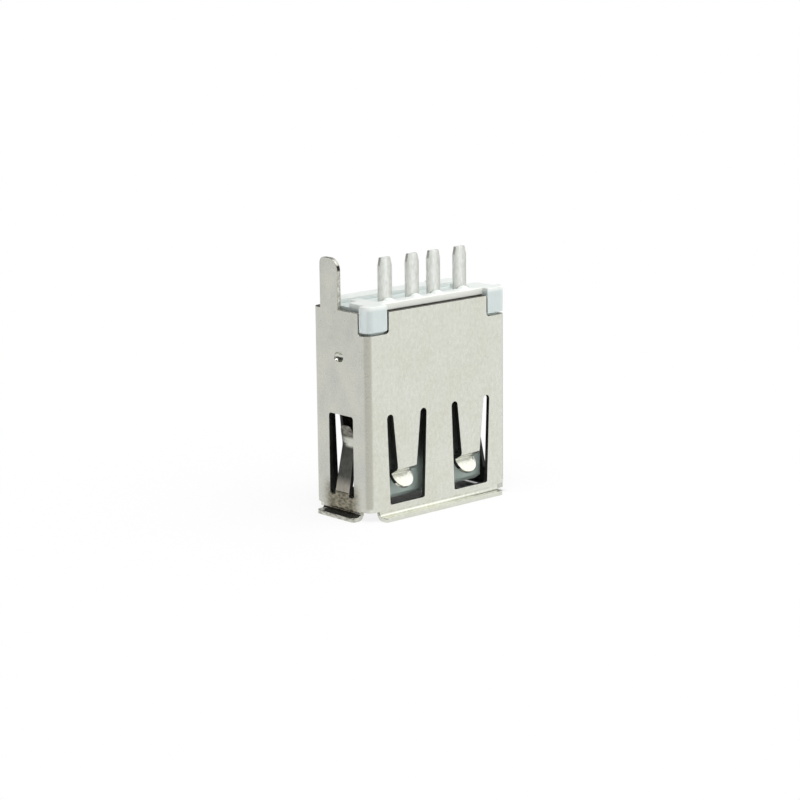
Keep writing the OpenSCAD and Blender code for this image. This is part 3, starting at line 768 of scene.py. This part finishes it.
# %% The floor
FLOOR_RADIUS = 2.5
PAPER = (0.95, 0.95, 0.95, 1)
bpy.ops.object.select_all(action="DESELECT")
bpy.ops.mesh.primitive_circle_add(vertices=64, radius=FLOOR_RADIUS, fill_type="NGON")
floor = bpy.context.view_layer.objects.active
floor.name = "floor"
floor_white, nodes, links, shader = new_material("floor_white")
shader.inputs["Roughness"].default_value = 0.9
shader.inputs["Base Color"].default_value = PAPER
floor.data.materials.append(floor_white)

# %% Where the paper is plain white: outside the mouth, under the mouth's left end as painted light over its shade, and more so further off
SHADE_MIDDLE_X = 1.5 * MM
SHADE_HALF_X = 4.8 * MM
MOUTH_HALF_Y = 2.6 * MM
MOUTH_FADE = 0.5 * MM
SHADOW_NEAR = 12 * MM
SHADOW_FAR = 40 * MM
WHITE_NEAR = 0.85
place = nodes.new("ShaderNodeTexCoord").outputs["Object"]
split = nodes.new("ShaderNodeSeparateXYZ")
links.new(place, split.inputs["Vector"])
past_wall = []
# The middle is set off to the right, so the left end under the mouth is painted plain white over its
# shade.
for axis, middle, half in (("X", SHADE_MIDDLE_X, SHADE_HALF_X), ("Y", 0, MOUTH_HALF_Y)):
    from_middle = work_out(nodes, links, "SUBTRACT", split.outputs[axis], middle)
    either_way = work_out(nodes, links, "ABSOLUTE", from_middle)
    past_wall.append(spread(nodes, links, either_way, 0, 1, half, half + MOUTH_FADE))
outside_mouth_and_left_end = work_out(nodes, links, "MAXIMUM", *past_wall)
far_off = nodes.new("ShaderNodeVectorMath")
far_off.operation = "LENGTH"
links.new(place, far_off.inputs[0])
whiteness = spread(nodes, links, far_off.outputs["Value"], WHITE_NEAR, 1, SHADOW_NEAR, SHADOW_FAR)
print("shadow fades out at", round(SHADOW_FAR / MM), "mm")

# %% Plain white for the camera and in mirrors
ray = nodes.new("ShaderNodeLightPath")
seen = ray.outputs["Is Camera Ray"]
for kind in ("Is Glossy Ray", "Is Transmission Ray"):
    seen = work_out(nodes, links, "MAXIMUM", seen, ray.outputs[kind])
seen_outside = overlap(nodes, links, seen, outside_mouth_and_left_end)
plain_white = nodes.new("ShaderNodeEmission")
either = nodes.new("ShaderNodeMixShader")
links.new(overlap(nodes, links, seen_outside, whiteness), either.inputs["Fac"])
links.new(shader.outputs["BSDF"], either.inputs[1])
links.new(plain_white.outputs["Emission"], either.inputs[2])
links.new(either.outputs["Shader"], nodes["Material Output"].inputs["Surface"])
print("floor is white at strength", plain_white.inputs["Strength"].default_value)

# %% [markdown]
# The light
#
# The room is bright in front and on the right and dark behind, so the bent metal shows dark lines
# where it mirrors the back of the room. A soft lamp overhead lights the top and the paper, and a
# weaker one on the right lifts the long wall. Lamps alone would leave the metal nothing to mirror,
# and a room alone would leave the socket without a shadow.

# %% The room
ROOM_BRIGHT_SIDE = (0.85, -0.53, 0)
ROOM_DARK = 0.02
ROOM_BRIGHT = 1.1
DARK_UP_TO = -0.15
BRIGHT_FROM = 0.55
world = bpy.data.worlds.new("white_room")
bpy.context.scene.world = world
world.use_nodes = True
nodes = world.node_tree.nodes
links = world.node_tree.links
heading = nodes.new("ShaderNodeTexCoord")
towards = nodes.new("ShaderNodeVectorMath")
towards.operation = "DOT_PRODUCT"
towards.inputs[1].default_value = ROOM_BRIGHT_SIDE
level = nodes.new("ShaderNodeMapRange")
level.interpolation_type = "SMOOTHSTEP"
level.inputs["From Min"].default_value = DARK_UP_TO
level.inputs["From Max"].default_value = BRIGHT_FROM
level.inputs["To Min"].default_value = ROOM_DARK
level.inputs["To Max"].default_value = ROOM_BRIGHT
links.new(heading.outputs["Generated"], towards.inputs[0])
links.new(towards.outputs["Value"], level.inputs["Value"])
links.new(level.outputs["Result"], nodes["Background"].inputs["Strength"])
nodes["Background"].inputs["Color"].default_value = (1, 1, 1, 1)
print("room runs from", ROOM_DARK, "to", ROOM_BRIGHT)


# %% The lamps
def soft_lamp(name, from_side, strength, spread_angle):
    lamp_data = bpy.data.lights.new(name, "SUN")
    lamp_data.energy = strength
    lamp_data.angle = math.radians(spread_angle)
    lamp = bpy.data.objects.new(name, lamp_data)
    bpy.context.scene.collection.objects.link(lamp)
    lamp.rotation_euler = Vector(from_side).to_track_quat("Z", "Y").to_euler()
    print("lamp", name, "at strength", strength)


soft_lamp("overhead_lamp", from_side=(-0.25, -0.1, 0.96), strength=1.9, spread_angle=50)
soft_lamp("right_lamp", from_side=(0.5, -0.5, 0.7), strength=0.3, spread_angle=50)

# %% [markdown]
# The camera
#
# The camera looks at the corner between the plain long wall and the short wall, from a little above.
# It could be turned by hand until the picture looks right, but its place was worked out from the
# socket's corners in the photograph, because then every edge falls where it should.

# %% The camera's place
CAMERA_TURN = math.radians(42.14)
CAMERA_RISE = math.radians(12.10)
CAMERA_ROLL = math.radians(-0.638)
CAMERA_DISTANCE = 168.18 * MM
CAMERA_TARGET = Vector((0, 0, 7.82 * MM))
FRAME_SHIFT_X = 0.788 * MM
FRAME_SHIFT_Y = 0.609 * MM
back = Vector((
    -math.sin(CAMERA_TURN) * math.cos(CAMERA_RISE),
    -math.cos(CAMERA_TURN) * math.cos(CAMERA_RISE),
    math.sin(CAMERA_RISE),
))
level_right = Vector((math.cos(CAMERA_TURN), -math.sin(CAMERA_TURN), 0))
level_up = back.cross(level_right)
right = math.cos(CAMERA_ROLL) * level_right + math.sin(CAMERA_ROLL) * level_up
up = -math.sin(CAMERA_ROLL) * level_right + math.cos(CAMERA_ROLL) * level_up
eye = CAMERA_TARGET + back * CAMERA_DISTANCE - right * FRAME_SHIFT_X - up * FRAME_SHIFT_Y
print("camera at", [round(value / MM, 1) for value in eye])

# %% The camera
SENSOR_WIDTH = 36
FOCAL_PIXELS = 2400
FRAME_PIXELS = 800
camera_data = bpy.data.cameras.new("camera")
camera = bpy.data.objects.new("camera", camera_data)
bpy.context.scene.collection.objects.link(camera)
camera_data.sensor_width = SENSOR_WIDTH
camera_data.lens = SENSOR_WIDTH * FOCAL_PIXELS / FRAME_PIXELS
camera_data.clip_start = 10 * MM
camera.matrix_world = Matrix((
    (right.x, up.x, back.x, eye.x),
    (right.y, up.y, back.y, eye.y),
    (right.z, up.z, back.z, eye.z),
    (0, 0, 0, 1),
))
bpy.context.scene.camera = camera
print("lens", camera_data.lens, "mm")

# %% Finish
bpy.context.scene.view_settings.view_transform = "Standard"
